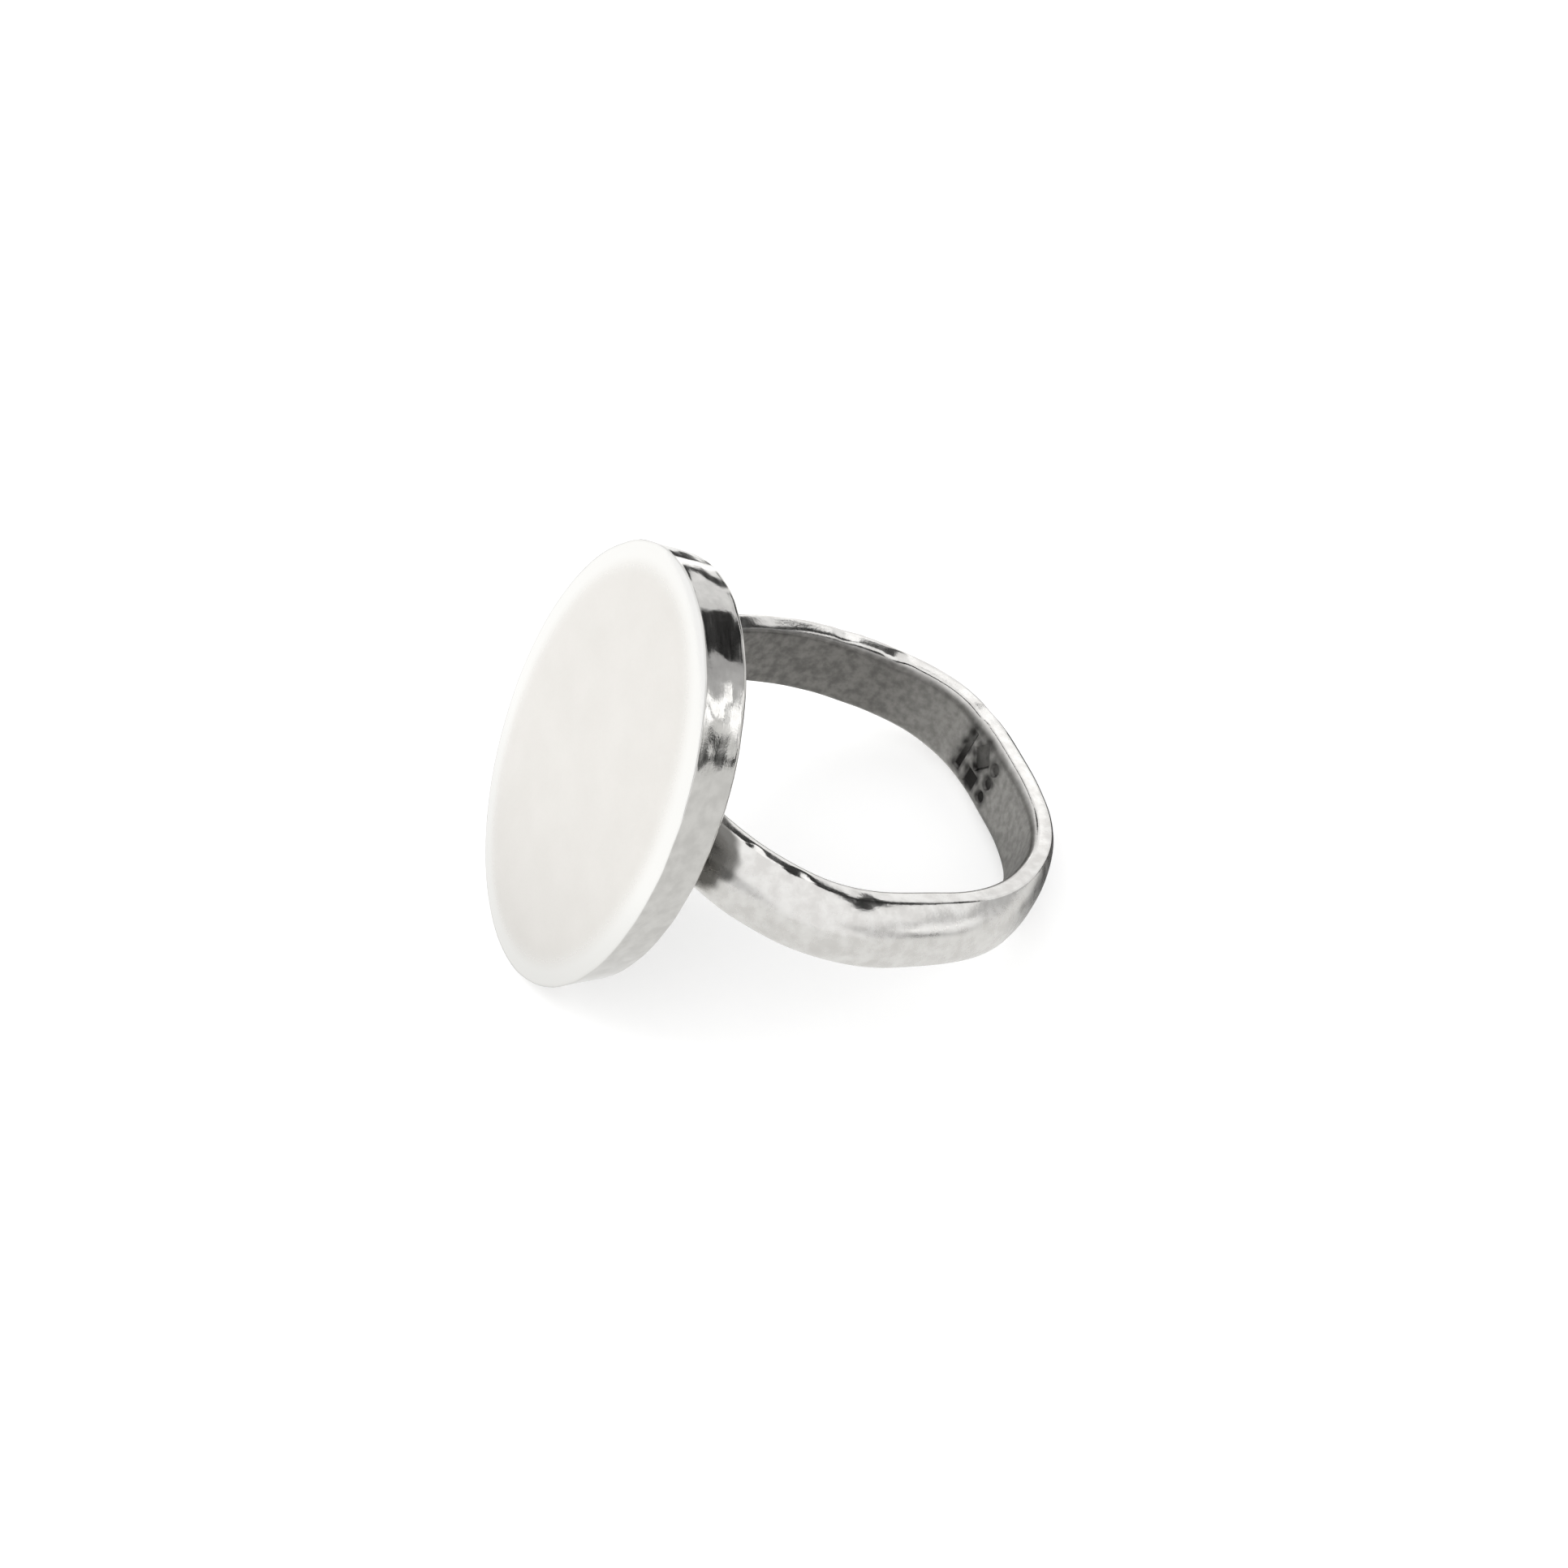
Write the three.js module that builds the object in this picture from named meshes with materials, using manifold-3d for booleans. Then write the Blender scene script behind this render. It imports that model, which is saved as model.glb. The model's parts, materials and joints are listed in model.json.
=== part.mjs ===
// A hand-made silver signet ring: a half-round shank, soldered closed, carries a plain oval plate.
// Millimetres, +Z up. The ring lies on its side, as it rests on a table: on the lower rim of the
// plate and the lower edge of the shank's back. +X runs from the plate to the back of the shank.

import * as THREE from 'three';
import { mergeVertices } from 'three/addons/utils/BufferGeometryUtils.js';
import Module from 'manifold-3d';

// ---- Driving dimensions, in the ring's own frame: Z along the finger, the plate towards -X ----

// What varies around the shank is given at even steps, from its back by way of the +Y side.
// The finger hole is a little squarish, as the band was bent by hand.
const HOLE_RADII = [8.8, 9.25, 8.5, 8.3, 8.65, 9.0, 9.05, 9.25, 9.25, 8.5, 8.9, 9.1];
const SHANK_WIDTH = [3.8, 3.6, 3.4, 3.6];
const EDGE_THICKNESS = [1.0, 1.0, 0.9, 0.85];
const CROWN_RISE = [0.45, 0.75, 0.75, 1.0, 1.15, 1.35, 1.5, 0.6];
const CROWN_POWER = 3.4;
const INNER_CORNER = 0.22;

// Oval plate: outline at its front corner, the wall's lean and the softly rolled face.
const PLATE_LENGTH = 21.9;
const PLATE_WIDTH = 15.6;
const PLATE_BACK = 10.36;
const WALL_HEIGHT = 2.25;
const WALL_LEAN = 0.33;
const BACK_CORNER = 0.3;
const MARGIN_WIDTH = 2.2;
const MARGIN_DROP = 0.25;

// Solder: the joint under the plate with its fillet, and the seam that closes the shank.
const JOINT_THICKNESS = 0.12;
const FILLET_HEIGHT = 0.5;
const FILLET_REACH = 0.35;
const SEAM_WIDTH = 0.1;
const CLEARANCE = 0.02;

// Facets.
const STATIONS = 90;
const CROWN_STEPS = 12;
const CORNER_STEPS = 3;
const OVAL_STEPS = 72;
const MARGIN_STEPS = 5;
const TANGENT_STEP = 0.001;

const SILVER = {
  satin: { color: 0xe6e3dd, roughness: 0.35, metalness: 1.0 },
  polished: { color: 0xdedbd5, roughness: 0.15, metalness: 1.0 },
  solder: { color: 0xcfccc4, roughness: 0.3, metalness: 1.0 },
};

const wasm = await Module();
wasm.setup();

// ---- Solids ----

function toSolid(geometry) {
  const bare = geometry.clone();
  bare.deleteAttribute('normal');
  bare.deleteAttribute('uv');
  const merged = mergeVertices(bare);
  return new wasm.Manifold(new wasm.Mesh({
    numProp: 3,
    vertProperties: new Float32Array(merged.attributes.position.array),
    triVerts: new Uint32Array(merged.index.array),
  }));
}

function toGeometry(solid) {
  const mesh = solid.getMesh();
  const geometry = new THREE.BufferGeometry();
  geometry.setAttribute('position', new THREE.BufferAttribute(mesh.vertProperties, 3));
  geometry.setIndex(new THREE.BufferAttribute(mesh.triVerts, 1));
  geometry.computeVertexNormals();
  return geometry;
}

function boxSolid(low, high) {
  const size = high.clone().sub(low);
  const middle = low.clone().add(high).multiplyScalar(0.5);
  const box = new THREE.BoxGeometry(size.x, size.y, size.z);
  return toSolid(box.translate(middle.x, middle.y, middle.z));
}

// Keeps what lies between two distances from the finger's axis towards the plate.
function betweenHeights(solid, low, high) {
  const reach = PLATE_LENGTH;
  const slab = boxSolid(
    new THREE.Vector3(-high, -reach, -reach),
    new THREE.Vector3(-low, reach, reach),
  );
  return solid.intersect(slab);
}

// Joins rows of points into quads, each split in two triangles.
function bridge(index, rowA, rowB, count) {
  for (let k = 0; k < count; k += 1) {
    const next = (k + 1) % count;
    index.push(rowA + k, rowA + next, rowB + next);
    index.push(rowA + k, rowB + next, rowB + k);
  }
}

// ---- Shank ----

// The section as a closed outline: x along the finger, y outwards from the finger hole.
// grow thickens it on every side but the finger hole's.
function sectionPoints(width, edge, crown, grow) {
  const half = width / 2 + grow;
  const points = [];
  for (let k = 0; k <= CROWN_STEPS; k += 1) {
    const across = Math.sin((Math.PI / 2) * (1 - (2 * k) / CROWN_STEPS));
    const rise = crown * (1 - Math.abs(across) ** CROWN_POWER);
    points.push(new THREE.Vector2(half * across, edge + grow + rise));
  }
  for (const side of [-1, 1]) {
    for (let k = 0; k <= CORNER_STEPS; k += 1) {
      const turn = (Math.PI / 2) * (k / CORNER_STEPS);
      const angle = side < 0 ? turn : Math.PI / 2 - turn;
      const inset = INNER_CORNER * (1 - Math.cos(angle));
      const depth = INNER_CORNER * (1 - Math.sin(angle));
      points.push(new THREE.Vector2(side * (half - inset), depth));
    }
  }
  return points;
}

// A dimension given at even steps around the ring, at an angle from its back, by a cubic
// (Catmull-Rom) blend of the four nearest values.
function aroundRing(values, angle) {
  const turn = ((angle / (2 * Math.PI) + 1) % 1) * values.length;
  const step = Math.floor(turn);
  const near = [-1, 0, 1, 2].map((k) => values[(step + k + values.length) % values.length]);
  const [a, b, c, d] = near;
  const t = turn - step;
  return b + (t / 2) * (c - a + t * (2 * a - 5 * b + 4 * c - d + t * (3 * (b - c) + d - a)));
}

function holePoint(angle) {
  const radius = aroundRing(HOLE_RADII, angle);
  return new THREE.Vector3(radius * Math.cos(angle), radius * Math.sin(angle), 0);
}

// One closed section of the shank. growAt gives the extra thickness at a point's height.
function shankStation(angle, growAt) {
  const inner = holePoint(angle);
  const along = holePoint(angle + TANGENT_STEP).sub(holePoint(angle - TANGENT_STEP)).normalize();
  const outward = new THREE.Vector3(along.y, -along.x, 0);
  const section = (grow) => sectionPoints(
    aroundRing(SHANK_WIDTH, angle),
    aroundRing(EDGE_THICKNESS, angle),
    aroundRing(CROWN_RISE, angle),
    grow,
  );
  const place = (point) => inner.clone().addScaledVector(outward, point.y).setZ(point.x);
  return section(0).map((point, k) => place(section(growAt(-place(point).x))[k]));
}

function shankLoft(growAt) {
  const positions = [];
  const index = [];
  let count = 0;
  for (let i = 0; i < STATIONS; i += 1) {
    const points = shankStation((2 * Math.PI * i) / STATIONS, growAt);
    count = points.length;
    points.forEach((point) => positions.push(point.x, point.y, point.z));
  }
  for (let i = 0; i < STATIONS; i += 1) {
    bridge(index, i * count, ((i + 1) % STATIONS) * count, count);
  }
  const geometry = new THREE.BufferGeometry();
  geometry.setAttribute('position', new THREE.Float32BufferAttribute(positions, 3));
  geometry.setIndex(index);
  return toSolid(geometry);
}

const filedFlat = PLATE_BACK - JOINT_THICKNESS;

// A slice across the band under the middle of the plate.
function seamSlice(width) {
  return boxSolid(
    new THREE.Vector3(-PLATE_BACK, -width / 2, -PLATE_WIDTH / 2),
    new THREE.Vector3(0, width / 2, PLATE_WIDTH / 2),
  );
}

function shankSolid() {
  const band = betweenHeights(shankLoft(() => 0), -PLATE_LENGTH, filedFlat);
  return band.subtract(seamSlice(SEAM_WIDTH));
}

function seamSolderSolid() {
  const band = betweenHeights(shankLoft(() => 0), 0, filedFlat);
  return band.intersect(seamSlice(SEAM_WIDTH - 2 * CLEARANCE));
}

// The solder under the plate: a thin layer on the filed flat, and a hollow fillet that thins out
// down the shank's sides.
function plateSolderSolid() {
  const foot = PLATE_BACK - FILLET_HEIGHT;
  const meniscus = (height) => {
    const rise = THREE.MathUtils.clamp((height - foot) / FILLET_HEIGHT, 0, 1);
    return FILLET_REACH * rise ** 2;
  };
  const wetted = betweenHeights(shankLoft(meniscus), foot, PLATE_BACK - CLEARANCE);
  const shankRoom = betweenHeights(shankLoft(() => CLEARANCE), 0, filedFlat + CLEARANCE);
  return wetted.subtract(shankRoom);
}

// ---- Plate ----

// Outline of the plate from the middle of its back to the middle of its face, as how far each
// oval lies in from the front corner and how high it is above the back.
function plateProfile() {
  const profile = [];
  for (let k = 0; k <= CORNER_STEPS; k += 1) {
    const angle = (Math.PI / 2) * (k / CORNER_STEPS);
    const inset = WALL_LEAN + BACK_CORNER * (1 - Math.sin(angle));
    profile.push({ inset, height: BACK_CORNER * (1 - Math.cos(angle)) });
  }
  for (let k = 0; k <= MARGIN_STEPS; k += 1) {
    const across = k / MARGIN_STEPS;
    const rise = MARGIN_DROP * (1 - (1 - across) ** 2);
    profile.push({ inset: MARGIN_WIDTH * across, height: WALL_HEIGHT + rise });
  }
  return profile;
}

function plateSolid() {
  const positions = [];
  const index = [];
  const profile = plateProfile();
  for (const { inset, height } of profile) {
    for (let k = 0; k < OVAL_STEPS; k += 1) {
      const angle = (2 * Math.PI * k) / OVAL_STEPS;
      const y = (PLATE_WIDTH / 2 - inset) * Math.cos(angle);
      const z = (PLATE_LENGTH / 2 - inset) * Math.sin(angle);
      positions.push(-PLATE_BACK - height, y, z);
    }
  }
  for (let row = 0; row < profile.length - 1; row += 1) {
    bridge(index, (row + 1) * OVAL_STEPS, row * OVAL_STEPS, OVAL_STEPS);
  }
  const lastRow = (profile.length - 1) * OVAL_STEPS;
  const backCentre = profile.length * OVAL_STEPS;
  positions.push(-PLATE_BACK, 0, 0);
  positions.push(-PLATE_BACK - WALL_HEIGHT - MARGIN_DROP, 0, 0);
  for (let k = 0; k < OVAL_STEPS; k += 1) {
    const next = (k + 1) % OVAL_STEPS;
    index.push(backCentre, k, next);
    index.push(backCentre + 1, lastRow + next, lastRow + k);
  }
  const geometry = new THREE.BufferGeometry();
  geometry.setAttribute('position', new THREE.Float32BufferAttribute(positions, 3));
  geometry.setIndex(index);
  return toSolid(geometry);
}

// ---- Assembly ----

function piece(name, solid, finish) {
  const mesh = new THREE.Mesh(toGeometry(solid), new THREE.MeshStandardMaterial(finish));
  mesh.name = name;
  return mesh;
}

function lowestPoint(mesh, tilt) {
  const turned = mesh.geometry.clone().rotateY(tilt);
  turned.computeBoundingBox();
  return turned.boundingBox.min.z;
}

// The tilt at which two pieces touch the table together, found by halving.
function restingTilt(front, rear) {
  let low = 0;
  let high = Math.PI / 4;
  for (let k = 0; k < 40; k += 1) {
    const middle = (low + high) / 2;
    if (lowestPoint(front, middle) < lowestPoint(rear, middle)) {
      low = middle;
    } else {
      high = middle;
    }
  }
  return low;
}

const plate = piece('signet_plate', plateSolid(), SILVER.satin);
const shank = piece('shank', shankSolid(), SILVER.polished);
const plateSolder = piece('plate_solder', plateSolderSolid(), SILVER.solder);
const seamSolder = piece('shank_seam_solder', seamSolderSolid(), SILVER.solder);

const ring = new THREE.Group();
ring.add(plate, shank, plateSolder, seamSolder);
ring.rotation.y = restingTilt(plate, shank);

const assembly = new THREE.Group();
assembly.add(ring);
const extent = new THREE.Box3().setFromObject(assembly, true);
const middle = extent.getCenter(new THREE.Vector3());
ring.position.set(-middle.x, -middle.y, -extent.min.z);

export default assembly;
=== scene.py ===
"""Looks for the silver signet ring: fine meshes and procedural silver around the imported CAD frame."""

import json
import math

import bmesh
import bpy
import numpy as np
from mathutils import Matrix, Vector, noise


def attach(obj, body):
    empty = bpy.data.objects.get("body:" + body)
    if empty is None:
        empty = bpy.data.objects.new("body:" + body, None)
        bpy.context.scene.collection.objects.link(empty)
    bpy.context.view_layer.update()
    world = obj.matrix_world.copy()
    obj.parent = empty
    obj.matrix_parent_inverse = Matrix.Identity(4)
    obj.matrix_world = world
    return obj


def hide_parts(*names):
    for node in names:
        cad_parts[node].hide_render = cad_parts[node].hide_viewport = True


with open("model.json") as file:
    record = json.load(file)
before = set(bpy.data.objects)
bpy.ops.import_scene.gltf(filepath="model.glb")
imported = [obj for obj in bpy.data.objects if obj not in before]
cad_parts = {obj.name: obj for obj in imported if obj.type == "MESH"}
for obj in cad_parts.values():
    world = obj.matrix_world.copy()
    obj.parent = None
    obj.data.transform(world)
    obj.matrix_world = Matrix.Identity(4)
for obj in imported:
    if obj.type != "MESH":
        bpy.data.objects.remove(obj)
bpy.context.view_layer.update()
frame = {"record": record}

# ---- Sizes in millimetres, in the ring's own frame: Z along the finger, the plate towards -X ----

# What varies around the shank is given at even steps, from its back by way of the +Y side.
HOLE_RADII = (8.8, 9.25, 8.5, 8.3, 8.65, 9.0, 9.05, 9.25, 9.25, 8.5, 8.9, 9.1)
SHANK_WIDTH = (3.8, 3.6, 3.4, 3.6)
EDGE_THICKNESS = (1.0, 1.0, 0.9, 0.85)
CROWN_RISE = (0.45, 0.75, 0.75, 1.0, 1.15, 1.35, 1.5, 0.6)
CROWN_POWER = 3.4

PLATE_LENGTH = 21.9
PLATE_WIDTH = 15.6
PLATE_BACK = 10.36
WALL_HEIGHT = 2.25
WALL_LEAN = 0.33
BACK_CORNER = 0.3
MARGIN_WIDTH = 2.2
MARGIN_DROP = 0.25
FACE_HEIGHT = PLATE_BACK + WALL_HEIGHT + MARGIN_DROP

JOINT_THICKNESS = 0.12
FILLET_HEIGHT = 0.5
FILLET_REACH = 0.35
FILED_FLAT = PLATE_BACK - JOINT_THICKNESS
SEAM_WIDTH = 0.1
HALF_SEAM_ANGLE = SEAM_WIDTH / 2 / HOLE_RADII[len(HOLE_RADII) // 2]

# The solder's fillet stands a hair off the shank at its foot. Cut points this close become one.
HAIR = 0.01
WELD_DISTANCE = 0.001
ON_PLANE = 1e-6

# Rounding of the shank's section.
INNER_CORNER_ACROSS = (0.6, 0.45, 0.2, 0.2, 0.15, 0.15, 0.2, 0.35)
INNER_CORNER_OUT = 0.36
EDGE_LEAN = (0.1, 0.1, 0.1, 0.08, 0.04, 0.0, 0.1, 0.11)
OUTER_CORNER_PASSES = 16

# How far handwork leaves the surfaces from true, and how large its bumps are.
SHANK_WAVER = 0.08
SHANK_WAVER_SIZE = 2.0
WALL_WAVER = 0.15
WALL_WAVER_SIZE = 1.5
FINE_WAVER_SHARE = 0.2
MARGIN_WAVER_SHARE = 0.25
WALL_TOP = (WALL_HEIGHT - 0.05, WALL_HEIGHT + 0.1)
ROUGHEST_ANGLE = math.radians(112)
LEAST_ROUGHNESS = 0.35

# Knocks on the edges: degrees around the ring, height along the finger, distance out, radius, depth.
EDGE_DENTS = (
    (48, 1.8, 0.15, 0.95, 0.1),
    (66, 1.8, 0.8, 0.8, 0.04),
    (20, 1.8, 0.5, 0.9, 0.06),
    (-112, 1.75, 0.9, 0.9, 0.05),
    (-128, 1.75, 1.0, 0.8, 0.06),
    (-140, 1.75, 1.0, 0.6, 0.07),
    (-60, -1.8, 0.9, 0.8, 0.05),
    (120, -1.7, 0.9, 0.9, 0.05),
)

# Punch marks on the inner wall. Places are (around the wall, along the finger) from their middle.
PUNCH_ANGLE = math.radians(9)
PUNCH_DEPTH = 0.12
PUNCH_SLOPE = 0.07
LOZENGE_PLACE = (0.2, 0.5)
LOZENGE_HALF = (0.65, 0.85)
LOZENGE_SLOPE = 0.5
SQUARE_PLACE = (0.2, -0.9)
SQUARE_HALF = 0.42
DOT_PLACES = ((-0.95, -0.95), (-0.95, -0.1), (-0.95, 0.75))
DOT_RADIUS = 0.29
BAR_PLACE = (1.3, 0)
BAR_HALF = (0.2, 1.1)

# Dirt in the marks and smeared around them, and painted shade in the joint between shank and plate.
SMEAR = 1.2
SMEAR_REACH = 0.5
SMEAR_SIZE = 0.4
UPPER_MARKS_CLEANER = 0.3
UPPER_MARKS_FADE = 0.6
JOINT_SHADE_HEIGHT = 8.3
JOINT_SHADE_SLANT = 0.45
JOINT_SHADE_END = 1.4
JOINT_SHADE_WAVER = 0.3
JOINT_SHADE_WAVER_SIZE = 0.5
JOINT_SHADE_FADE = 0.35

# The inner wall ends at these distances out, and the outer face where the surface faces out this far.
INNER_WALL_END = (0.05, 0.3)
OUTER_FACE_END = (0.3, 0.7)

# Points around a section of the shank, part by part, and stations around the ring.
CROWN_POINTS = 56
EDGE_POINTS = 12
CORNER_POINTS = 10
INNER_POINTS = 80
STATIONS = 480
PUNCH_STATIONS = 110
PUNCH_SPREAD_DEGREES = 13
PLAIN_FROM_DEGREES = 13.2
JOINT_STATIONS = 260
JOINT_SPREAD_RADIANS = 1
SMALL_TURN = 1e-3

# Points up the plate's profile, part by part, and stations around it.
BACK_POINTS = 8
WALL_POINTS = 30
MARGIN_POINTS = 40
PLATE_STATIONS = 640

MM = 0.001

# ---- Colours and finishes ----

PLATE_SHADE = (0.77, 0.75, 0.72)
PLATE_LIGHT = (0.84, 0.82, 0.795)
# Painted sheen: the burnished margin is coloured lighter than the table.
MARGIN_LIGHT = (0.89, 0.885, 0.87)
# Painted shade: the wall is coloured darker than the table; its two colours mix at random.
WALL_SHADE = (0.62, 0.61, 0.592)
WALL_LIGHT = (0.72, 0.71, 0.69)
SHANK_SHADE = (0.72, 0.705, 0.685)
SHANK_LIGHT = (0.85, 0.84, 0.82)
# Painted shade where the shank runs into the plate.
JOINT_SHADE_DARK = (0.2, 0.195, 0.185)
PUNCH_BLACK = (0.02, 0.019, 0.018)
# Inside the ring: dark tarnish together with painted shade, lighter where rubbed at the back.
TARNISH_AND_SHADE_DARK = (0.145, 0.141, 0.134)
TARNISH_AND_SHADE_LIGHT = (0.235, 0.228, 0.216)
RUBBED_DARK = (0.25, 0.245, 0.234)
RUBBED_LIGHT = (0.36, 0.352, 0.338)
SOLDER_DARK = (0.5, 0.49, 0.475)
SOLDER_LIGHT = (0.74, 0.735, 0.72)

TABLE_ROUGHNESS = (0.30, 0.38)
POLISH_ROUGHNESS = (0.09, 0.15)
SHANK_ROUGHNESS = (0.24, 0.32)
INNER_ROUGHNESS = (0.36, 0.48)
SOLDER_ROUGHNESS = (0.26, 0.42)
TABLE_GRAIN = 0.5
SHANK_GRAIN = 0.7
RELIEF_DEPTH = 0.004
PIT_DEPTH = 0.01

# Heights over the plate's back, and places from the finger's axis, where one finish becomes another.
TABLE_EDGE = (WALL_HEIGHT + 0.12, WALL_HEIGHT + MARGIN_DROP - 0.005)
BURNISHED_EDGE = (WALL_HEIGHT - 0.04, WALL_HEIGHT + 0.04)
RUBBED_EDGE = (5.5, 9.0)

# What a noise texture mostly covers, the whole of a share, and the sockets of a colour mix node.
NOISE_RANGE = (0.3, 0.7)
WHOLE = (0, 1)
MIX_FACTOR, MIX_ONE, MIX_OTHER, MIX_RESULT = 0, 6, 7, 2

# ---- Stage, in metres, with azimuth 0 at the front and 90 to the right ----

CAMERA_LENS = 66.07
CAMERA_SENSOR = 36
CAMERA_CLIP = (0.001, 10)
CAMERA_AZIMUTH = -23.93
CAMERA_ELEVATION = 47.06
CAMERA_ROLL = math.radians(3.26)

# In millimetres: how far the camera is from the hole, and how far right and up the hole is in view.
CAMERA_DISTANCE = 129.6
HOLE_RIGHT = 2.26
HOLE_UP = 0.17

FLOOR_SIZE = 3
FLOOR_SEEN = (0.88, 0.88, 0.88)
FLOOR_GLOW = 0.3
# The floor that only the silver reflects: a painted pool of light towards the bright side and a painted
# shadow beside the shank's back.
FLOOR_DIM = (0.7, 0.7, 0.69)
FLOOR_BRIGHT = (0.93, 0.93, 0.92)
FLOOR_BRIGHT_SIDE = (-150, 0)
FLOOR_FADE = (0, 0.026)
SHADE_CENTRE = (0.0155, -0.003, 0)
SHADE_REACH = (0.003, 0.009)
SHADE_DARK = (0.08, 0.08, 0.08)

# Reflectors around a point by the plate: name, azimuths, elevations, distance, brightness.
CARD_CENTRE = Vector((-0.011, -0.0045, 0.012))
CARD_ROWS = 9
CARD_COLUMNS = 17
CARDS = (
    ("front_grey", (22, 50), (-3, 32), 0.65, 0.62),
    ("front_right_grey", (50, 70), (-3, 30), 0.65, 0.55),
    ("right_grey", (70, 99), (-3, 24), 0.65, 0.5),
    ("back_grey", (99, 128), (6, 30), 0.65, 0.9),
    ("edge_black", (103, 124), (7, 18), 0.03, 0.03),
    ("corner_black", (98, 122), (24, 36), 0.6, 0.03),
    ("rim_white", (124, 146), (23, 44), 0.6, 1.25),
    ("low_black", (108, 124), (-11.3, -3), 0.06, 0.04),
    ("end_black", (88, 110), (-24, -13), 0.0305, 0.06),
    ("top_black", (144, 172), (-12.3, 3), 0.055, 0.05),
    ("top_window", (138, 144), (-6, 4), 0.062, 1.6),
    ("shoulder_black", (128, 138), (7, 15), 0.04, 0.05),
    ("side_black", (83, 109), (20, 33), 0.04, 0.02),
    ("side_window", (54.5, 69), (0.5, 13), 0.06, 1.7),
    ("window_bar", (61.5, 64), (0, 14), 0.057, 0.45),
    ("near_black", (49, 58), (-9, -1), 0.05, 0.04),
    ("left_grey", (-90, -40), (5, 45), 0.65, 0.55),
    ("left_back_grey", (-170, -100), (8, 45), 0.65, 0.82),
)

# ---- Placing: the record's mount on the plate's face gives the ring's lean and its place ----

plate_face = frame["record"]["mounts"][0]
lean = math.asin(plate_face["axis"][2])
TO_ROW = (
    Matrix.Translation(plate_face["pos_m"])
    @ Matrix.Rotation(lean, 4, "Y")
    @ Matrix.Scale(MM, 4)
    @ Matrix.Translation((FACE_HEIGHT, 0, 0))
)
hole_centre = TO_ROW @ Vector((0, 0, 0))


# ---- Mesh helpers ----

def make_piece(name, body, material, replaced):
    """Turns a bmesh in the ring's frame into a smooth piece in the row frame."""
    bmesh.ops.recalc_face_normals(body, faces=body.faces)
    mesh = bpy.data.meshes.new(name)
    body.to_mesh(mesh)
    body.free()
    mesh.transform(TO_ROW)
    mesh.shade_smooth()
    mesh.materials.append(material)
    piece = bpy.data.objects.new(name, mesh)
    bpy.context.scene.collection.objects.link(piece)
    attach(piece, "root")
    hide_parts(replaced)


def grid_body(rows, marks=None):
    """A closed body through rows of points, each row a loop, with end caps and marks on its points."""
    body = bmesh.new()
    marks = marks or {}
    layers = [body.verts.layers.float.new(name) for name in marks]
    loops = [[body.verts.new(point) for point in row] for row in rows]
    for layer, values in zip(layers, marks.values()):
        for loop, loop_values in zip(loops, values):
            for vertex, value in zip(loop, loop_values):
                vertex[layer] = value
    count = len(loops[0])
    for here, there in zip(loops, loops[1:]):
        for k in range(count):
            after = (k + 1) % count
            body.faces.new((here[k], here[after], there[after], there[k]))
    body.faces.new(loops[0])
    body.faces.new(loops[-1])
    bmesh.ops.recalc_face_normals(body, faces=body.faces)
    return body


def trim(body, height, keep_below):
    """Cuts the body flat at a height above the finger's axis, towards the plate, and closes it."""
    direction = (-1, 0, 0) if keep_below else (1, 0, 0)
    cut = bmesh.ops.bisect_plane(
        body,
        geom=body.verts[:] + body.edges[:] + body.faces[:],
        plane_co=(-height, 0, 0),
        plane_no=direction,
        dist=ON_PLANE,
        clear_outer=True,
    )
    rim = [part for part in cut["geom_cut"] if isinstance(part, bmesh.types.BMEdge)]
    bmesh.ops.holes_fill(body, edges=rim, sides=0)
    weld(body)


def weld(body):
    """Merges the points that a cut has left next to each other."""
    bmesh.ops.remove_doubles(body, verts=body.verts[:], dist=WELD_DISTANCE)


def cut_away(body, tool):
    """The body less the tool, as a new bmesh."""
    parts = []
    for name, source in (("cut_body", body), ("cut_tool", tool)):
        mesh = bpy.data.meshes.new(name)
        source.to_mesh(mesh)
        source.free()
        part = bpy.data.objects.new(name, mesh)
        bpy.context.scene.collection.objects.link(part)
        parts.append(part)
    modifier = parts[0].modifiers.new("cut", "BOOLEAN")
    modifier.operation = "DIFFERENCE"
    modifier.solver = "EXACT"
    modifier.object = parts[1]
    graph = bpy.context.evaluated_depsgraph_get()
    result = bmesh.new()
    result.from_object(parts[0], graph)
    for part in parts:
        bpy.data.objects.remove(part)
    weld(result)
    bmesh.ops.triangulate(result, faces=result.faces[:])
    return result


def unevenness(point, size, seed):
    """Smooth noise from 0 to 1 with bumps about size millimetres across."""
    value = noise.noise(Vector(point) / size + Vector((seed, 0, 0)))
    return min(max(0.5 + 0.5 * value, 0.0), 1.0)


def smooth_step(low, high, value):
    t = min(max((value - low) / (high - low), 0), 1)
    return t * t * (3 - 2 * t)


# ---- Shank ----

def around_ring(values, angle):
    """A size given at even steps around the ring, by a cubic blend of the four nearest."""
    turn = (angle / math.tau % 1) * len(values)
    step = math.floor(turn)
    a, b, c, d = (values[(step + k) % len(values)] for k in (-1, 0, 1, 2))
    t = turn - step
    return b + t / 2 * (c - a + t * (2 * a - 5 * b + 4 * c - d + t * (3 * (b - c) + d - a)))


def hole_point(angle):
    radius = around_ring(HOLE_RADII, angle)
    return Vector((radius * math.cos(angle), radius * math.sin(angle), 0))


def band_frame(angle):
    """The hole's surface at an angle, and the outward direction there."""
    along = (hole_point(angle + SMALL_TURN) - hole_point(angle - SMALL_TURN)).normalized()
    return hole_point(angle), Vector((along.y, -along.x, 0))


def section_sizes(angle):
    sizes = (SHANK_WIDTH, EDGE_THICKNESS, CROWN_RISE, EDGE_LEAN, INNER_CORNER_ACROSS)
    return [around_ring(values, angle) for values in sizes]


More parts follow.
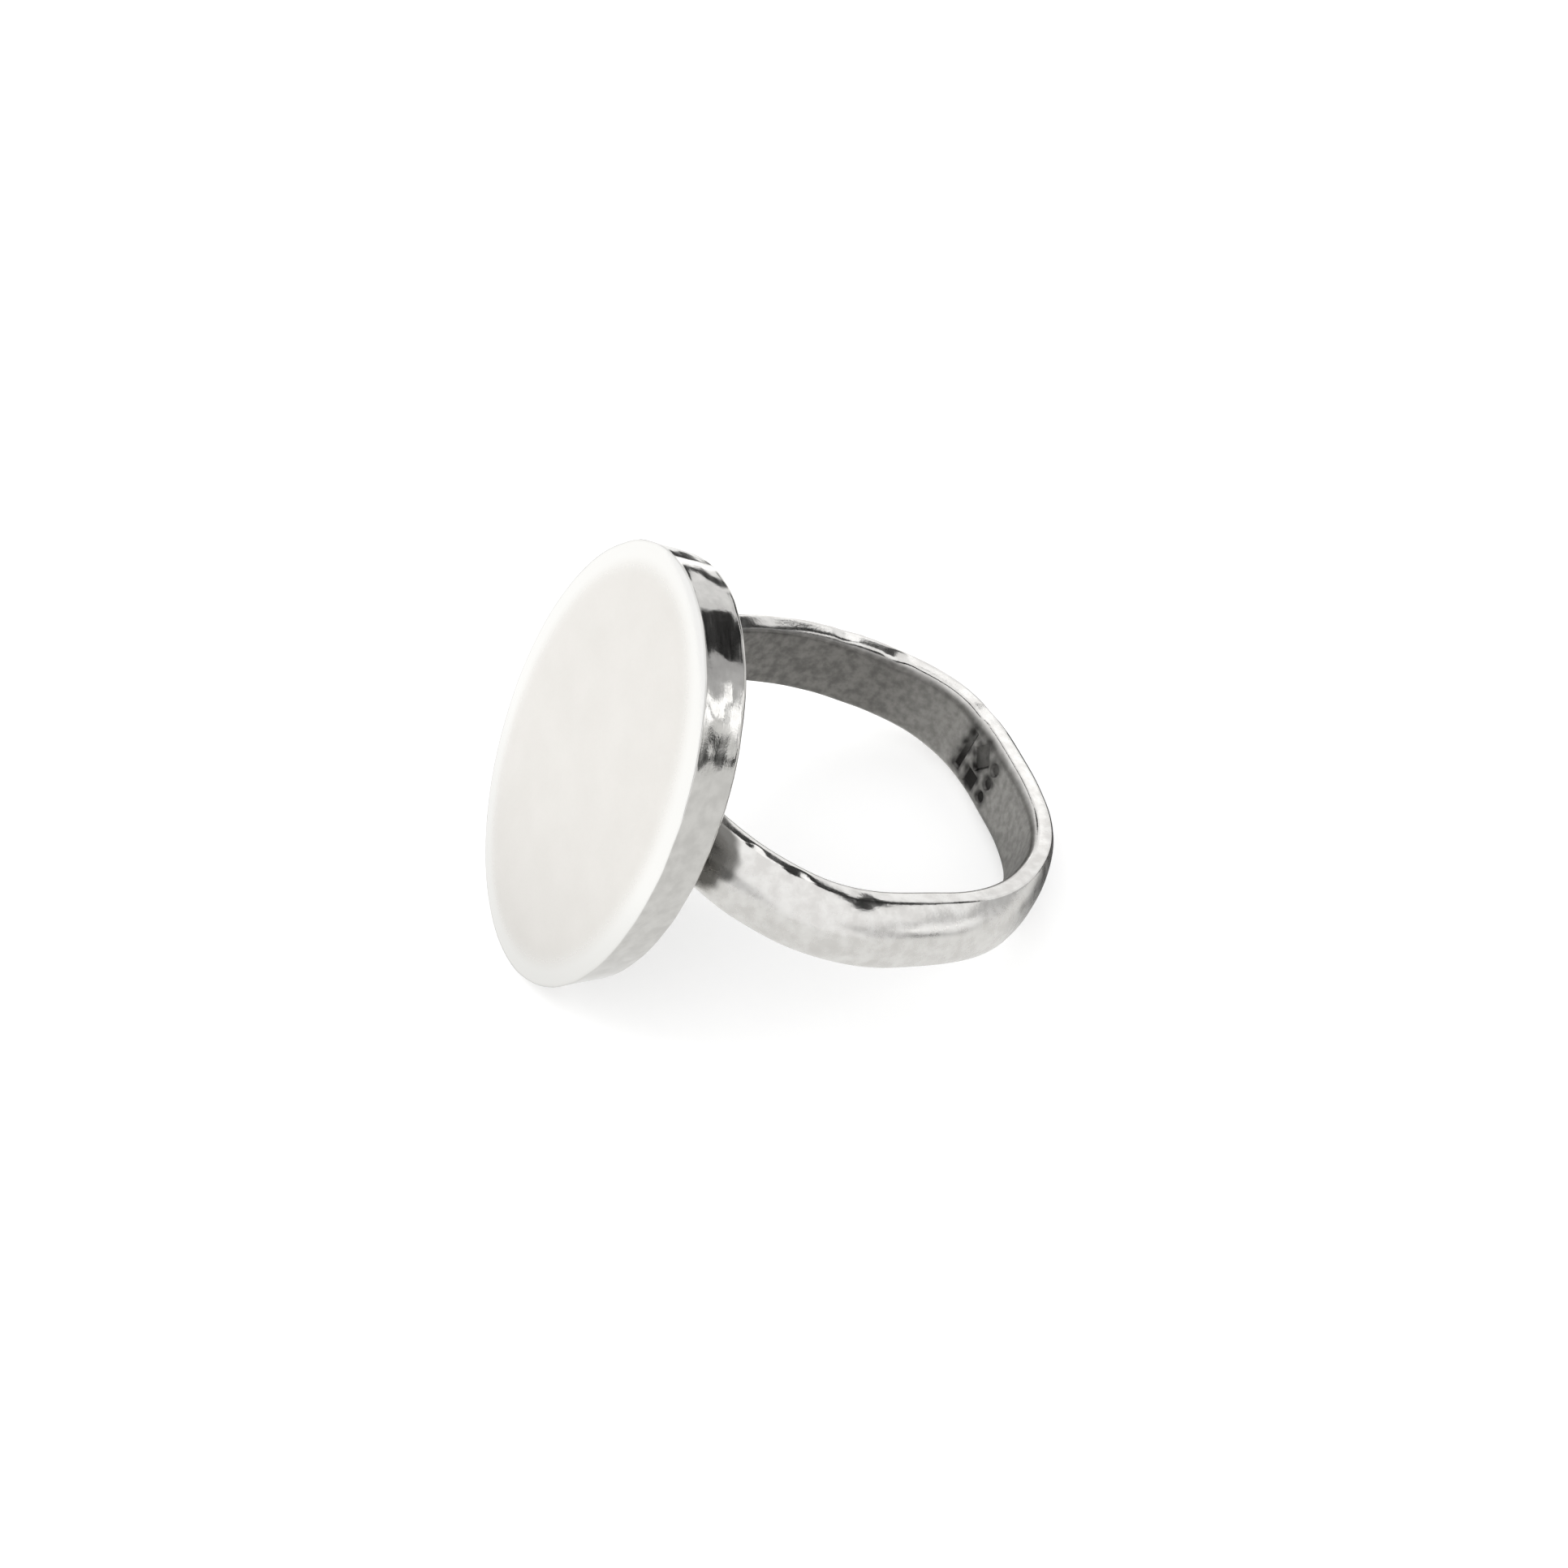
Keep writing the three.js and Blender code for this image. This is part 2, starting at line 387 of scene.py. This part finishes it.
def section_outline(width, edge, crown, edge_lean, corner_across, grow):
    """The shank's section as points (along the finger, outwards), from the crown's +Z corner on."""
    half = width / 2 + grow
    across = np.sin(np.linspace(math.pi / 2, -math.pi / 2, CROWN_POINTS))
    rise = edge + grow + crown * (1 - np.abs(across) ** CROWN_POWER)
    outer = np.stack([half * across, rise], 1)
    down = np.linspace(1, 0, EDGE_POINTS)[1:]
    side = np.stack([
        half - edge_lean * (1 - down),
        INNER_CORNER_OUT + (edge + grow - INNER_CORNER_OUT) * down,
    ], 1)
    turn = np.linspace(0, math.pi / 2, CORNER_POINTS)[1:]
    corner = np.stack([
        half - edge_lean - corner_across * (1 - np.cos(turn)),
        INNER_CORNER_OUT * (1 - np.sin(turn)),
    ], 1)
    falling = np.concatenate([side, corner]) * (-1, 1)
    flat = np.linspace(falling[-1, 0], -falling[-1, 0], INNER_POINTS)[1:-1]
    inner = np.stack([flat, np.zeros_like(flat)], 1)
    rising = (falling * (-1, 1))[::-1]
    points = np.concatenate([outer, falling, inner, rising])
    for _ in range(OUTER_CORNER_PASSES):
        points = (np.roll(points, 1, 0) + 2 * points + np.roll(points, -1, 0)) / 4
    return points


def section_normals(points):
    along = np.roll(points, -1, 0) - np.roll(points, 1, 0)
    normals = np.stack([along[:, 1], -along[:, 0]], 1)
    return normals / np.linalg.norm(normals, axis=1)[:, None]


def grown_section(angle, grow_at):
    """One section in the ring's frame, thickened where grow_at says for a height to the plate."""
    inner, outward = band_frame(angle)
    plain = section_outline(*section_sizes(angle), 0)
    grown = section_outline(*section_sizes(angle), 1)
    points = []
    for (u, v), (far_u, far_v) in zip(plain, grown):
        grow = grow_at(-(inner + outward * v).x)
        place = inner + outward * (v + (far_v - v) * grow)
        points.append(place + Vector((0, 0, u + (far_u - u) * grow)))
    return points


def worn_section(angle):
    """One section of the finished shank with the waver of handwork and the punch marks.

    Gives the points, and for each how far it belongs to the inner wall and to the outer face, how
    dirty it is in and around a punch mark and how dark the painted shade in the joint makes it.
    """
    inner, outward = band_frame(angle)
    outline = section_outline(*section_sizes(angle), 0)
    points, inside, outside, dirty, in_joint_shade = [], [], [], [], []
    for (u, v), (normal_u, normal_v) in zip(outline, section_normals(outline)):
        place = inner + outward * v + Vector((0, 0, u))
        on_inner_wall = 1 - smooth_step(*INNER_WALL_END, v)
        punch, dirt = punch_marks(angle, u)
        cut = SHANK_WAVER * unevenness(place, SHANK_WAVER_SIZE, seed=3) + dent_depth(place)
        cut += PUNCH_DEPTH * punch * on_inner_wall
        points.append(place - (outward * normal_v + Vector((0, 0, normal_u))) * cut)
        inside.append(on_inner_wall)
        outside.append(smooth_step(*OUTER_FACE_END, normal_v))
        dirty.append(dirt * on_inner_wall)
        in_joint_shade.append(painted_joint_shade(place) * (1 - on_inner_wall))
    return points, inside, outside, dirty, in_joint_shade


def dent_centre(degrees, u, out):
    inner, outward = band_frame(math.radians(degrees))
    return inner + outward * out + Vector((0, 0, u))


DENTS = [(dent_centre(turn, u, out), radius, depth) for turn, u, out, radius, depth in EDGE_DENTS]


def dent_depth(place):
    """How deep the small knocks and file marks on the shank's edges cut at a place."""
    depth = 0
    for centre, radius, deepest in DENTS:
        nearness = 1 - (place - centre).length_squared / radius ** 2
        depth += deepest * max(nearness, 0) ** 2
    return depth


def painted_joint_shade(place):
    """Painted shade from 0 to 1 where the shank runs into the plate, most at the end that stands
    uppermost.
    """
    waver = JOINT_SHADE_WAVER * (unevenness(place, JOINT_SHADE_WAVER_SIZE, seed=7) - 0.5)
    border = JOINT_SHADE_HEIGHT + JOINT_SHADE_SLANT * (JOINT_SHADE_END - place.z) + waver
    return smooth_step(border, border + JOINT_SHADE_FADE, -place.x)


def punch_marks(angle, u):
    """How deep a point lies in a punch mark and how dirty it is, from 0 on the plain wall.

    The marks are a bar, a lozenge, a square and a column of dots. The dirt reaches a little past them.
    """
    along = (angle - PUNCH_ANGLE) * HOLE_RADII[0]

    def from_middle(place):
        return abs(along - place[0]), abs(u - place[1])

    side, end = from_middle(LOZENGE_PLACE)
    lozenge = (side / LOZENGE_HALF[0] + end / LOZENGE_HALF[1] - 1) * LOZENGE_SLOPE
    square = max(from_middle(SQUARE_PLACE)) - SQUARE_HALF
    dots = min(math.hypot(*from_middle(place)) for place in DOT_PLACES) - DOT_RADIUS
    side, end = from_middle(BAR_PLACE)
    bar = max(side - BAR_HALF[0], end - BAR_HALF[1])
    distance = min(lozenge, square, dots, bar)
    depth = 1 - smooth_step(-PUNCH_SLOPE, PUNCH_SLOPE, distance)
    reach = 1 - smooth_step(0, SMEAR_REACH, distance)
    smear = SMEAR * reach * unevenness((along, u, 0), SMEAR_SIZE, seed=9)
    blackness = 1 - UPPER_MARKS_CLEANER * smooth_step(-UPPER_MARKS_FADE, UPPER_MARKS_FADE, u)
    return depth, max(depth * blackness, smear)


def build_shank(material):
    """The band, open at its seam and filed flat for the plate, with finer stations at the marks."""
    plain = np.linspace(-math.pi + HALF_SEAM_ANGLE, math.pi - HALF_SEAM_ANGLE, STATIONS)
    clear = plain[np.abs(plain - PUNCH_ANGLE) > np.radians(PLAIN_FROM_DEGREES)]
    spread = np.linspace(-PUNCH_SPREAD_DEGREES, PUNCH_SPREAD_DEGREES, PUNCH_STATIONS)
    angles = sorted([*clear, *(PUNCH_ANGLE + np.radians(spread))])
    points, *marks = zip(*(worn_section(angle) for angle in angles))
    body = grid_body(points, dict(zip(("inside", "outside", "dirty", "in_joint_shade"), marks)))
    trim(body, FILED_FLAT, keep_below=True)
    make_piece("silver_shank", body, material, "shank")


def build_seam_solder(material):
    """The thin slice that closes the band, under the plate."""
    ends = (math.pi - HALF_SEAM_ANGLE, math.pi + HALF_SEAM_ANGLE)
    rows, inside, *_ = zip(*(worn_section(angle) for angle in ends))
    body = grid_body(rows, {"inside": inside})
    trim(body, FILED_FLAT, keep_below=True)
    make_piece("seam_solder", body, material, "shank_seam_solder")


def build_plate_solder(material):
    """A layer on the filed flat with a hollow fillet that thins out down the shank's sides."""
    foot = PLATE_BACK - FILLET_HEIGHT

    def meniscus(height):
        rise = min(max((height - foot) / FILLET_HEIGHT, 0), 1)
        return HAIR + FILLET_REACH * rise ** 2

    def inner_skin(_):
        return HAIR / 2

    spread = JOINT_SPREAD_RADIANS
    angles = np.linspace(math.pi - spread, math.pi + spread, JOINT_STATIONS)
    wetted = grid_body([grown_section(angle, meniscus) for angle in angles])
    trim(wetted, PLATE_BACK, keep_below=True)
    trim(wetted, foot, keep_below=False)
    core = grid_body([grown_section(angle, inner_skin) for angle in angles])
    trim(core, FILED_FLAT, keep_below=True)
    make_piece("joint_solder", cut_away(wetted, core), material, "plate_solder")


# ---- Plate ----

def plate_profile():
    """Pairs of inset from the front corner and height over the back, from back to face."""
    turn = np.linspace(0, math.pi / 2, BACK_POINTS)
    back = np.stack([
        WALL_LEAN + BACK_CORNER * (1 - np.sin(turn)),
        BACK_CORNER * (1 - np.cos(turn)),
    ], 1)
    climb = np.linspace(0, 1, WALL_POINTS)[1:]
    wall = np.stack([
        WALL_LEAN * (1 - climb),
        BACK_CORNER + (WALL_HEIGHT - BACK_CORNER) * climb,
    ], 1)
    across = np.linspace(0, 1, MARGIN_POINTS)[1:]
    margin = np.stack([
        MARGIN_WIDTH * across,
        WALL_HEIGHT + MARGIN_DROP * (1 - (1 - across) ** 2),
    ], 1)
    return np.concatenate([back, wall, margin])


def oval_point(angle, inset, height):
    """A point of the plate: the angle runs from the +Y side towards the upper end."""
    return Vector((
        -PLATE_BACK - height,
        (PLATE_WIDTH / 2 - inset) * math.cos(angle),
        (PLATE_LENGTH / 2 - inset) * math.sin(angle),
    ))


def wall_roughness(angle):
    """How unevenly the wall was filed: most at the upper end, a little to its -Y side."""
    nearness = 0.5 + 0.5 * math.cos(angle - ROUGHEST_ANGLE)
    return LEAST_ROUGHNESS + (1 - LEAST_ROUGHNESS) * nearness


def build_plate(material):
    """Stacked ovals from back to face. The wall wavers, and the margin a good deal less."""
    rows = []
    for inset, height in plate_profile():
        on_wall = 1 - smooth_step(*WALL_TOP, height)
        share = MARGIN_WAVER_SHARE + (1 - MARGIN_WAVER_SHARE) * on_wall
        row = []
        for angle in np.linspace(0, math.tau, PLATE_STATIONS, endpoint=False):
            place = oval_point(angle, inset, height)
            broad = unevenness(place, WALL_WAVER_SIZE, seed=11)
            fine = unevenness(place, WALL_WAVER_SIZE / 2, seed=5)
            waver = (1 - FINE_WAVER_SHARE) * broad + FINE_WAVER_SHARE * fine
            cut = WALL_WAVER * share * waver * wall_roughness(angle)
            row.append(oval_point(angle, inset + cut, height))
        rows.append(row)
    make_piece("oval_plate", grid_body(rows), material, "signet_plate")


# ---- Materials ----

class Surface:
    """A material's nodes, with short ways to build a pattern out of them."""

    def __init__(self, name):
        self.material = bpy.data.materials.new(name)
        self.material.use_nodes = True
        self.nodes = self.material.node_tree.nodes
        self.links = self.material.node_tree.links
        self.shader = self.nodes["Principled BSDF"]

    def connect(self, value, socket):
        """Sets a socket to a number or a colour, or links it to another node's socket."""
        if isinstance(value, tuple):
            socket.default_value = (*value, 1)
        elif isinstance(value, (int, float)):
            socket.default_value = value
        else:
            self.links.new(value, socket)

    def vector_math(self, operation, value, other):
        node = self.nodes.new("ShaderNodeVectorMath")
        node.operation = operation
        self.links.new(value, node.inputs[0])
        node.inputs[1].default_value = other
        return node.outputs

    def math(self, operation, one, other):
        node = self.nodes.new("ShaderNodeMath")
        node.operation = operation
        self.connect(one, node.inputs[0])
        self.connect(other, node.inputs[1])
        return node.outputs["Value"]

    def spread(self, value, covered, low=0, high=1, interpolation="SMOOTHSTEP"):
        """Maps the covered range of a value on to the one from low to high."""
        node = self.nodes.new("ShaderNodeMapRange")
        node.interpolation_type = interpolation
        self.links.new(value, node.inputs["Value"])
        node.inputs["From Min"].default_value = covered[0]
        node.inputs["From Max"].default_value = covered[1]
        self.connect(low, node.inputs["To Min"])
        self.connect(high, node.inputs["To Max"])
        return node.outputs["Result"]

    def mix_color(self, factor, one, other):
        node = self.nodes.new("ShaderNodeMix")
        node.data_type = "RGBA"
        self.connect(factor, node.inputs[MIX_FACTOR])
        self.connect(one, node.inputs[MIX_ONE])
        self.connect(other, node.inputs[MIX_OTHER])
        return node.outputs[MIX_RESULT]


class Silver(Surface):
    """A metal with its pattern laid out in millimetres in the ring's own frame."""

    def __init__(self, name):
        super().__init__(name)
        self.shader.inputs["Metallic"].default_value = 1
        coordinates = self.nodes.new("ShaderNodeTexCoord")
        mapping = self.nodes.new("ShaderNodeMapping")
        mapping.vector_type = "TEXTURE"
        mapping.inputs["Location"].default_value = hole_centre
        mapping.inputs["Rotation"].default_value = (0, lean, 0)
        mapping.inputs["Scale"].default_value = (MM, MM, MM)
        self.links.new(coordinates.outputs["Object"], mapping.inputs["Vector"])
        self.place = mapping.outputs["Vector"]

    def noise(self, per_mm, detail, stretch=(1, 1, 1)):
        """Noise with so many bumps per millimetre, or fewer along an axis with a smaller stretch."""
        place = self.vector_math("MULTIPLY", self.place, stretch)["Vector"]
        node = self.nodes.new("ShaderNodeTexNoise")
        node.inputs["Scale"].default_value = per_mm
        node.inputs["Detail"].default_value = detail
        self.links.new(place, node.inputs["Vector"])
        return node.outputs["Fac"]

    def patches(self, per_mm, detail):
        """Noise that reaches from 0 to 1."""
        return self.spread(self.noise(per_mm, detail), NOISE_RANGE)

    def part_of_place(self, axis):
        node = self.nodes.new("ShaderNodeSeparateXYZ")
        self.links.new(self.place, node.inputs["Vector"])
        return node.outputs[axis]

    def attribute(self, name):
        node = self.nodes.new("ShaderNodeAttribute")
        node.attribute_name = name
        return node.outputs["Fac"]

    def finish(self, color, roughness, relief, depth_mm):
        self.links.new(color, self.shader.inputs["Base Color"])
        self.links.new(roughness, self.shader.inputs["Roughness"])
        node = self.nodes.new("ShaderNodeBump")
        node.inputs["Distance"].default_value = depth_mm * MM
        self.links.new(relief, node.inputs["Height"])
        self.links.new(node.outputs["Normal"], self.shader.inputs["Normal"])
        return self.material


def plate_silver():
    """Satin table inside a burnished margin coloured lighter as painted sheen, and a polished wall with
    filing streaks, coloured darker as painted shade.
    """
    silver = Silver("plate_silver")
    to_plate = silver.math("MULTIPLY", silver.part_of_place("X"), -1)
    height = silver.math("SUBTRACT", to_plate, PLATE_BACK)
    on_table = silver.spread(height, TABLE_EDGE)
    on_margin = silver.spread(height, BURNISHED_EDGE)
    grain = silver.noise(per_mm=9, detail=2)
    streaks = silver.noise(per_mm=3, detail=3, stretch=(1, 0.15, 0.15))
    table = silver.mix_color(silver.noise(per_mm=0.45, detail=4), PLATE_SHADE, PLATE_LIGHT)
    # The wall is coloured darker as painted shade, and the margin lighter as painted sheen.
    wall = silver.mix_color(silver.patches(per_mm=1.6, detail=5), WALL_SHADE, WALL_LIGHT)
    side = silver.mix_color(on_margin, wall, MARGIN_LIGHT)
    color = silver.mix_color(on_table, side, table)
    satin = silver.spread(grain, NOISE_RANGE, *TABLE_ROUGHNESS)
    polish = silver.spread(streaks, NOISE_RANGE, *POLISH_ROUGHNESS)
    roughness = silver.spread(on_table, WHOLE, polish, satin)
    relief = silver.math("ADD", silver.math("MULTIPLY", grain, TABLE_GRAIN), streaks)
    return silver.finish(color, roughness, relief, RELIEF_DEPTH)


def shank_silver():
    """Satin outside between polished edges; inside dull and dark with tarnish and painted shade, rubbed
    cleaner at the back.
    """
    silver = Silver("shank_silver")
    inside = silver.attribute("inside")
    mottle = silver.patches(per_mm=1.6, detail=5)
    patina = silver.patches(per_mm=2.4, detail=6)
    grain = silver.noise(per_mm=7, detail=3)
    lines = silver.noise(per_mm=2.2, detail=3, stretch=(0.35, 0.35, 3))
    outer = silver.mix_color(mottle, SHANK_SHADE, SHANK_LIGHT)
    # The inner wall is coloured dark, partly for tarnish and partly as painted shade inside the finger
    # hole.
    tarnish_and_shade = silver.mix_color(patina, TARNISH_AND_SHADE_DARK, TARNISH_AND_SHADE_LIGHT)
    rubbed = silver.mix_color(patina, RUBBED_DARK, RUBBED_LIGHT)
    at_back = silver.spread(silver.part_of_place("X"), RUBBED_EDGE)
    inner = silver.mix_color(at_back, tarnish_and_shade, rubbed)
    outer_and_shaded_inner = silver.mix_color(inside, outer, inner)
    # Painted shade darkens the shank's outside where it runs into the plate.
    with_joint_shade = silver.mix_color(silver.attribute("in_joint_shade"), outer_and_shaded_inner, JOINT_SHADE_DARK)
    color = silver.mix_color(silver.attribute("dirty"), with_joint_shade, PUNCH_BLACK)
    polish = silver.spread(lines, NOISE_RANGE, *POLISH_ROUGHNESS)
    satin = silver.spread(mottle, WHOLE, *SHANK_ROUGHNESS)
    dull = silver.spread(grain, NOISE_RANGE, *INNER_ROUGHNESS)
    outer_finish = silver.spread(silver.attribute("outside"), WHOLE, polish, satin)
    roughness = silver.spread(inside, WHOLE, outer_finish, dull)
    relief = silver.math("ADD", silver.math("MULTIPLY", grain, SHANK_GRAIN), lines)
    return silver.finish(color, roughness, relief, RELIEF_DEPTH)


def solder_silver():
    """Greyer silver solder with a slightly frosted, pitted skin, darkened inside the ring with tarnish
    and painted shade.
    """
    silver = Silver("solder_silver")
    pits = silver.noise(per_mm=5, detail=4)
    clean = silver.mix_color(pits, SOLDER_DARK, SOLDER_LIGHT)
    color = silver.mix_color(silver.attribute("inside"), clean, TARNISH_AND_SHADE_LIGHT)
    roughness = silver.spread(pits, NOISE_RANGE, *SOLDER_ROUGHNESS)
    return silver.finish(color, roughness, pits, PIT_DEPTH)


# ---- Stage ----

def heading(azimuth, elevation):
    """A unit direction from degrees."""
    turn, rise = math.radians(azimuth), math.radians(elevation)
    return Vector((math.sin(turn) * math.cos(rise), -math.cos(turn) * math.cos(rise), math.sin(rise)))


def emission(name, brightness):
    material = bpy.data.materials.new(name)
    material.use_nodes = True
    nodes = material.node_tree.nodes
    nodes.remove(nodes["Principled BSDF"])
    glow = nodes.new("ShaderNodeEmission")
    glow.inputs["Color"].default_value = (brightness, brightness, brightness, 1)
    material.node_tree.links.new(glow.outputs["Emission"], nodes["Material Output"].inputs["Surface"])
    return material


def build_card(name, azimuths, elevations, distance, brightness):
    """A reflector that only the polished silver sees, across a range of directions in degrees."""
    body = bmesh.new()
    rows = []
    for elevation in np.linspace(*elevations, CARD_ROWS):
        around = np.linspace(*azimuths, CARD_COLUMNS)
        rows.append([
            body.verts.new(CARD_CENTRE + heading(azimuth, elevation) * distance) for azimuth in around
        ])
    for low, high in zip(rows, rows[1:]):
        for k in range(CARD_COLUMNS - 1):
            body.faces.new((low[k], low[k + 1], high[k + 1], high[k]))
    mesh = bpy.data.meshes.new(name)
    body.to_mesh(mesh)
    body.free()
    mesh.materials.append(emission(name, brightness))
    card = bpy.data.objects.new(name, mesh)
    bpy.context.scene.collection.objects.link(card)
    card.visible_camera = False
    card.visible_diffuse = False
    card.visible_shadow = False


def matte(name):
    surface = Surface(name)
    surface.shader.inputs["Roughness"].default_value = 1
    surface.shader.inputs["Specular IOR Level"].default_value = 0
    return surface


def white_floor():
    """Matte white with a little glow of its own."""
    surface = matte("floor_white")
    surface.shader.inputs["Base Color"].default_value = (*FLOOR_SEEN, 1)
    surface.shader.inputs["Emission Color"].default_value = (1, 1, 1, 1)
    surface.shader.inputs["Emission Strength"].default_value = FLOOR_GLOW
    return surface.material


def grey_floor():
    """Matte grey with a painted pool of light to one side and a painted shadow beside the shank's back.
    """
    surface = matte("floor_grey")
    position = surface.nodes.new("ShaderNodeNewGeometry").outputs["Position"]
    bright_side = heading(*FLOOR_BRIGHT_SIDE)
    towards = surface.vector_math("DOT_PRODUCT", position, bright_side)["Value"]
    brighter = surface.spread(towards, FLOOR_FADE, interpolation="LINEAR")
    plain = surface.mix_color(brighter, FLOOR_DIM, FLOOR_BRIGHT)
    apart = surface.vector_math("DISTANCE", position, SHADE_CENTRE)["Value"]
    color = surface.mix_color(surface.spread(apart, SHADE_REACH), SHADE_DARK, plain)
    surface.connect(color, surface.shader.inputs["Base Color"])
    return surface.material


def build_floor(name, material, is_seen):
    """A wide square that is either seen, or else only reflected in the polished silver."""
    half = FLOOR_SIZE / 2
    corners = [(-half, -half, 0), (half, -half, 0), (half, half, 0), (-half, half, 0)]
    mesh = bpy.data.meshes.new(name)
    mesh.from_pydata(corners, [], [(0, 1, 2, 3)])
    mesh.materials.append(material)
    floor = bpy.data.objects.new(name, mesh)
    bpy.context.scene.collection.objects.link(floor)
    floor.visible_glossy = not is_seen
    floor.visible_camera = is_seen
    floor.visible_diffuse = is_seen
    floor.visible_shadow = is_seen


def build_world():
    world = bpy.data.worlds.new("studio")
    world.use_nodes = True
    world.node_tree.nodes["Background"].inputs["Color"].default_value = (1, 1, 1, 1)
    world.node_tree.nodes["Background"].inputs["Strength"].default_value = 1.0
    bpy.context.scene.world = world


def build_softbox(name, azimuth, elevation, distance, size, power):
    """A square lamp that looks at the middle of the floor and isn't reflected itself."""
    light = bpy.data.lights.new(name, "AREA")
    light.size = size
    light.energy = power
    lamp = bpy.data.objects.new(name, light)
    away = heading(azimuth, elevation)
    lamp.location = away * distance
    lamp.rotation_euler = (-away).to_track_quat("-Z", "Y").to_euler()
    lamp.visible_glossy = False
    bpy.context.scene.collection.objects.link(lamp)


def build_camera():
    """A long lens above the ring's near side, turned a little about its own axis."""
    camera = bpy.data.cameras.new("camera")
    camera.lens = CAMERA_LENS
    camera.sensor_width = CAMERA_SENSOR
    camera.clip_start, camera.clip_end = CAMERA_CLIP
    back = heading(CAMERA_AZIMUTH, CAMERA_ELEVATION)
    turned = (-back).to_track_quat("-Z", "Y").to_matrix() @ Matrix.Rotation(CAMERA_ROLL, 3, "Z")
    place = hole_centre + turned @ Vector((-HOLE_RIGHT, -HOLE_UP, CAMERA_DISTANCE)) * MM
    eye = bpy.data.objects.new("camera", camera)
    eye.matrix_world = Matrix.Translation(place) @ turned.to_4x4()
    bpy.context.scene.collection.objects.link(eye)
    bpy.context.scene.camera = eye


bpy.context.scene.view_settings.view_transform = "Standard"

build_camera()
build_floor("floor", white_floor(), is_seen=True)
build_floor("floor_mirrored", grey_floor(), is_seen=False)
build_world()
build_softbox("key", azimuth=-130, elevation=45, distance=0.5, size=0.35, power=0.7)
for card in CARDS:
    build_card(*card)
build_plate(plate_silver())
build_shank(shank_silver())
build_plate_solder(solder_silver())
build_seam_solder(solder_silver())
